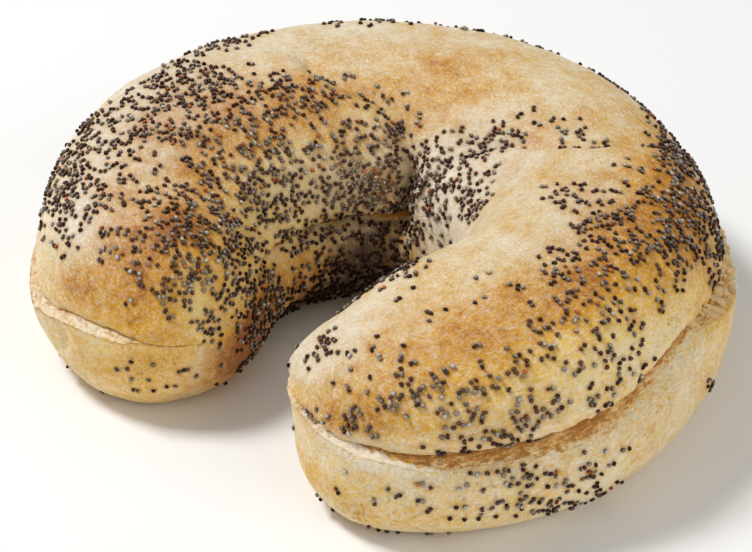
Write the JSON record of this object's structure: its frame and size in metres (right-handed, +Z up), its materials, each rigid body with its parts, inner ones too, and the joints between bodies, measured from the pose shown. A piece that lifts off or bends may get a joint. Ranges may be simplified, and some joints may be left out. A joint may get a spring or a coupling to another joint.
{
  "type": "seeded croissant",
  "caption": "Curled bread roll in a crescent with blunt horns, a burst seam round its side and small dark seeds over its golden crust.",
  "frame": {"origin": "middle of the bounding box's bottom face, on the tray the roll lies on", "axes": "+Z up through the crest; +Y towards the back of the bend; -Y towards the gap between the two horns; +X towards the arm with the widest open seam"},
  "size_m": [0.147, 0.1314, 0.0464],
  "materials": {
    "crust": "matte baked crust"
  },
  "bodies": {
    "root": {"croissant": "crust"}
  },
  "joints": []
}
